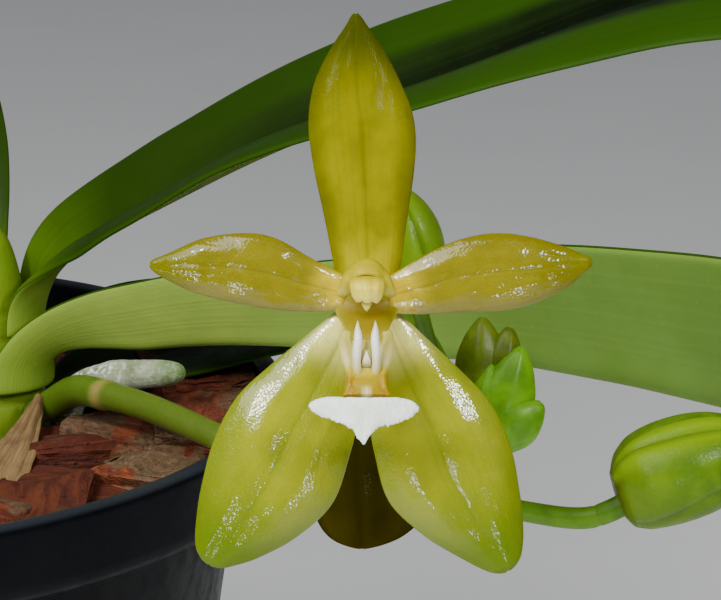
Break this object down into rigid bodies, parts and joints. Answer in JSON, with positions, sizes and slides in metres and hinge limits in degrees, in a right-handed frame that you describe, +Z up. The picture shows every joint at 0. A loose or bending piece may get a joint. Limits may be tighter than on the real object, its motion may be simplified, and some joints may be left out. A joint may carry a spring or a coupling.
{
  "type": "potted phalaenopsis mannii orchid",
  "caption": "Potted orchid with long strap leaves in bark and a flower spike carrying a yellow star-shaped bloom with a white lip, a nodding young bloom and green buds.",
  "frame": {"origin": "centre of the pot's underside, where it stands on the table", "axes": "+Z up; the open bloom faces -Y, the side the picture was taken from; +X to that viewer's right, towards the long leaves"},
  "size_m": [0.3264, 0.2118, 0.1621],
  "materials": {
    "pot_plastic": "semi-matte moulded plastic",
    "leaf_base": "pale fleshy leaf bases round the stem; leather stands in for plant tissue",
    "root": "matt silvery aerial root; leather stands in for plant tissue",
    "bark": "rough reddish-brown bark chips",
    "dry_sheath": "dry papery tan leaf remains",
    "leaf": "smooth waxy green leaf; leather stands in for plant tissue",
    "stalk": "smooth fleshy yellow-green stalk; leather stands in for plant tissue",
    "bud": "waxy lime-green bud; leather stands in for plant tissue",
    "sepal": "glossy yellow-green sepal; leather stands in for plant tissue",
    "petal": "glossy golden-yellow petal; leather stands in for plant tissue",
    "column": "waxy yellow flower column; leather stands in for plant tissue",
    "anther": "cream anther cap; leather stands in for plant tissue",
    "lip_claw": "golden-orange fleshy lip; leather stands in for plant tissue",
    "lip_blade": "white finely papillose lip blade; leather stands in for plant tissue"
  },
  "bodies": {
    "root": {"pot": "pot_plastic", "stem": "leaf_base", "root_back": "root", "root_left": "root", "root_front": "root", "root_right": "root", "bark_bed": "bark", "dried_sheath": "dry_sheath", "leaf_upper_right": "leaf", "leaf_pale_right": "leaf", "leaf_low_right": "leaf", "leaf_top_left": "leaf", "leaf_middle_left": "leaf", "leaf_low_left": "leaf", "spike": "stalk", "pedicel_bloom": "stalk", "pedicel_young": "stalk", "pedicel_bud_right": "stalk", "pedicel_bud_upright": "stalk", "bud_right": "bud", "bud_upright": "bud", "dorsal_sepal": "sepal", "petal_left": "petal", "petal_right": "petal", "lateral_sepal_left": "sepal", "lateral_sepal_right": "sepal", "column": "column", "anther_cap": "anther", "lip": "lip_claw", "lip_midlobe": "lip_blade", "young_sepal_front": "sepal", "young_sepal_left": "sepal", "young_sepal_right": "sepal", "young_petal_left": "petal", "young_petal_right": "petal", "young_column": "column"}
  },
  "joints": []
}
